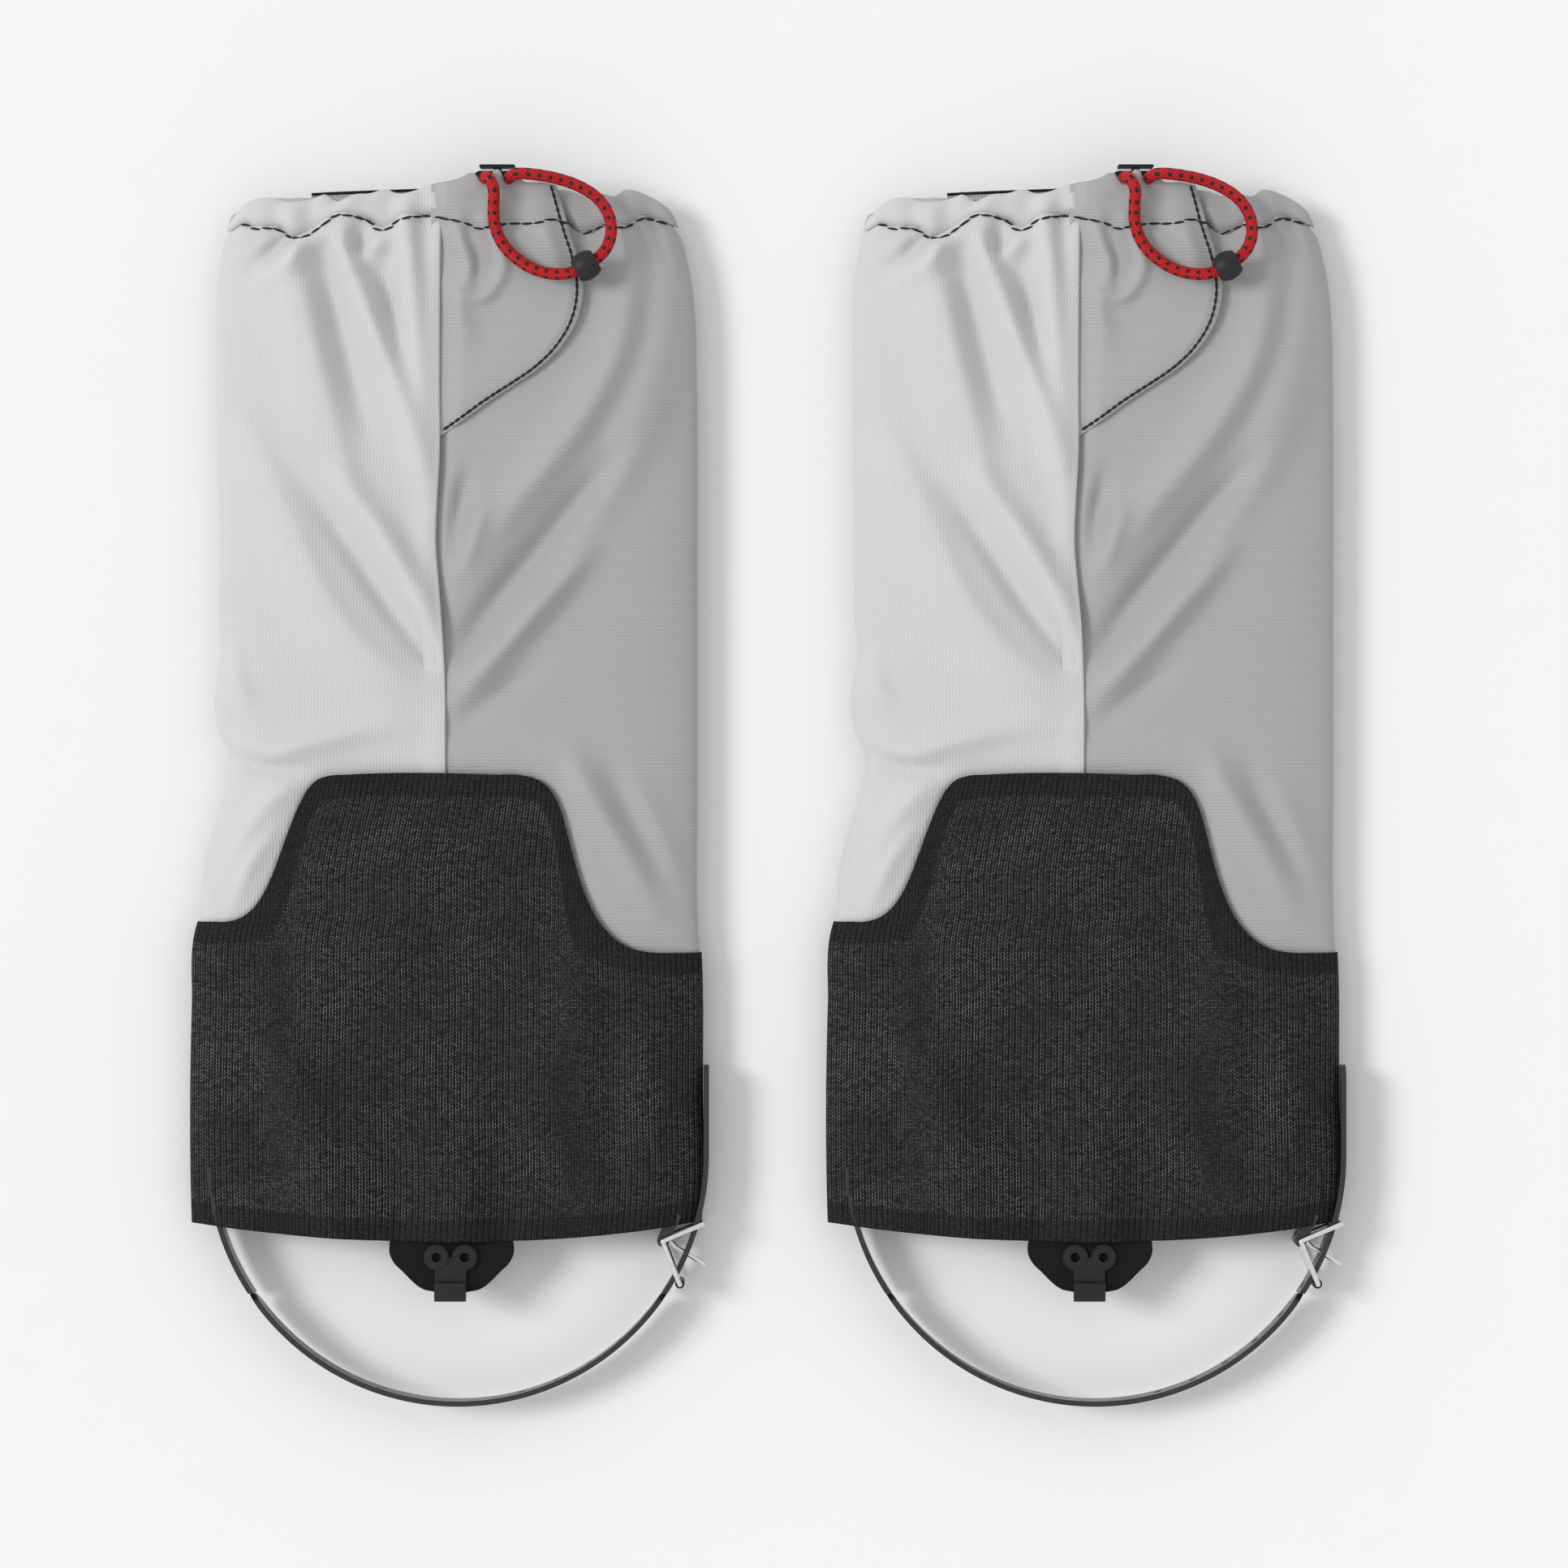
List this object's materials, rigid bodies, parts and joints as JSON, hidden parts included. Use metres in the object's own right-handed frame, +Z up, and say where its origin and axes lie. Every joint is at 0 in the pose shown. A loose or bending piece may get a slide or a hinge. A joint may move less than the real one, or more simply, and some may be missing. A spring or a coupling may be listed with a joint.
{
  "type": "gaiters",
  "caption": "Pair of full-height gaiters lying flat: drawcord top, front closure flap, black boot guard, lace hook, instep strap with roller buckle.",
  "frame": {"origin": "on the resting surface, at the centre of the pair's footprint", "axes": "+X across the pair to the right, +Y from the boot end to the calf end, +Z up from the surface, out of the fronts"},
  "size_m": [0.4425, 0.4745, 0.0368],
  "materials": {
    "shell_fabric": "fine ribbed woven shell, matte",
    "guard_fabric": "dense ribbed abrasion weave, matte",
    "tape": "woven tape",
    "hook_and_loop": "hook and loop pile",
    "cord": "braided shock cord with dark flecks",
    "lock_plastic": "moulded, satin",
    "bead_rubber": "satin rubber",
    "spring_steel": "drawn wire",
    "tab_laminate": "coated laminate with a fine grain",
    "black_metal": "blackened, semi-gloss",
    "strap_band": "smooth moulded band, satin",
    "bright_wire": "bright nickel-plated wire",
    "roller_plastic": "turned, smooth"
  },
  "bodies": {
    "left_tube": {"left_guard_front": "guard_fabric", "left_guard_back": "guard_fabric", "left_overlap_panel": "shell_fabric", "left_underlap_panel": "shell_fabric", "left_back_panel": "shell_fabric", "left_hem_cord": "cord", "left_top_casing": "shell_fabric", "left_back_tape": "tape", "left_panel_loop_pad": "hook_and_loop", "left_hook_tab_root": "tab_laminate", "left_strap_tail": "strap_band", "left_strap_root": "strap_band", "left_side_patches": "tab_laminate", "left_buckle_frame": "bright_wire", "left_buckle_tab": "strap_band"},
    "left_flap": {"left_closure_flap": "shell_fabric", "left_flap_hook_pad": "hook_and_loop", "left_cord_lock_body": "lock_plastic", "left_cord_lock_spring": "spring_steel", "left_cord_lock_tab": "tape", "left_drawcord_loop": "cord"},
    "left_plunger": {"left_cord_lock_plunger": "lock_plastic"},
    "left_bead": {"left_cord_bead": "bead_rubber"},
    "left_strap": {"left_instep_strap": "strap_band"},
    "left_tongue": {"left_buckle_tongue": "bright_wire"},
    "left_roller": {"left_buckle_roller": "roller_plastic"},
    "left_hook": {"left_hook_tab": "tab_laminate", "left_lace_hook": "black_metal", "left_hook_rivets": "black_metal", "left_rivet_washers": "black_metal"},
    "right_tube": {"right_guard_front": "guard_fabric", "right_guard_back": "guard_fabric", "right_overlap_panel": "shell_fabric", "right_underlap_panel": "shell_fabric", "right_back_panel": "shell_fabric", "right_hem_cord": "cord", "right_top_casing": "shell_fabric", "right_back_tape": "tape", "right_panel_loop_pad": "hook_and_loop", "right_hook_tab_root": "tab_laminate", "right_strap_tail": "strap_band", "right_strap_root": "strap_band", "right_side_patches": "tab_laminate", "right_buckle_frame": "bright_wire", "right_buckle_tab": "strap_band"},
    "right_flap": {"right_closure_flap": "shell_fabric", "right_flap_hook_pad": "hook_and_loop", "right_cord_lock_body": "lock_plastic", "right_cord_lock_spring": "spring_steel", "right_cord_lock_tab": "tape", "right_drawcord_loop": "cord"},
    "right_plunger": {"right_cord_lock_plunger": "lock_plastic"},
    "right_bead": {"right_cord_bead": "bead_rubber"},
    "right_strap": {"right_instep_strap": "strap_band"},
    "right_tongue": {"right_buckle_tongue": "bright_wire"},
    "right_roller": {"right_buckle_roller": "roller_plastic"},
    "right_hook": {"right_hook_tab": "tab_laminate", "right_lace_hook": "black_metal", "right_hook_rivets": "black_metal", "right_rivet_washers": "black_metal"}
  },
  "joints": [
    {"name": "left_flap_fold", "type": "hinge", "parent": "left_tube", "child": "left_flap", "pos_m": [-0.12556, 0.18115, 0.0246], "axis": [0, -1, 0], "range_deg": [0, 120]},
    {"name": "left_plunger_press", "type": "slide", "parent": "left_flap", "child": "left_plunger", "axis": [0, -1, 0], "range_m": [0, 0.0012], "stiffness_N_per_m": 500, "springref_m": -0.002, "deforming": ["left_cord_lock_spring"]},
    {"name": "left_bead_slide", "type": "slide", "parent": "left_flap", "child": "left_bead", "axis": [0.8677, 0.4958, 0.0354], "range_m": [-0.0012, 0.0012]},
    {"name": "left_strap_fold", "type": "hinge", "parent": "left_tube", "child": "left_strap", "pos_m": [-0.11876, -0.20085, 0.011], "axis": [-1, 0, 0], "range_deg": [0, 85]},
    {"name": "left_tongue_pivot", "type": "hinge", "parent": "left_tube", "child": "left_tongue", "pos_m": [-0.04026, -0.17385, 0.011], "axis": [0, 0, 1], "range_deg": [-3, 3]},
    {"name": "left_roller_spin", "type": "hinge", "parent": "left_tube", "child": "left_roller", "pos_m": [-0.03385, -0.19027, 0.011], "axis": [0, 0, 1], "continuous": true},
    {"name": "left_hook_flex", "type": "hinge", "parent": "left_tube", "child": "left_hook", "pos_m": [-0.12096, -0.17485, 0.0198], "axis": [-1, 0, 0], "range_deg": [-30, 40], "stiffness_Nm_per_rad": 0.05},
    {"name": "right_flap_fold", "type": "hinge", "parent": "right_tube", "child": "right_flap", "pos_m": [0.11819, 0.18115, 0.0246], "axis": [0, -1, 0], "range_deg": [0, 120]},
    {"name": "right_plunger_press", "type": "slide", "parent": "right_flap", "child": "right_plunger", "axis": [0, -1, 0], "range_m": [0, 0.0012], "stiffness_N_per_m": 500, "springref_m": -0.002, "deforming": ["right_cord_lock_spring"]},
    {"name": "right_bead_slide", "type": "slide", "parent": "right_flap", "child": "right_bead", "axis": [0.8677, 0.4958, 0.0354], "range_m": [-0.0012, 0.0012]},
    {"name": "right_strap_fold", "type": "hinge", "parent": "right_tube", "child": "right_strap", "pos_m": [0.12499, -0.20085, 0.011], "axis": [-1, 0, 0], "range_deg": [0, 85]},
    {"name": "right_tongue_pivot", "type": "hinge", "parent": "right_tube", "child": "right_tongue", "pos_m": [0.20349, -0.17385, 0.011], "axis": [0, 0, 1], "range_deg": [-3, 3]},
    {"name": "right_roller_spin", "type": "hinge", "parent": "right_tube", "child": "right_roller", "pos_m": [0.2099, -0.19027, 0.011], "axis": [0, 0, 1], "continuous": true},
    {"name": "right_hook_flex", "type": "hinge", "parent": "right_tube", "child": "right_hook", "pos_m": [0.12279, -0.17485, 0.0198], "axis": [-1, 0, 0], "range_deg": [-30, 40], "stiffness_Nm_per_rad": 0.05},
    {"name": "right_gaiter_lift", "type": "slide", "parent": "left_tube", "child": "right_tube", "axis": [0, 0, 1], "range_m": [0, 0.2]}
  ]
}
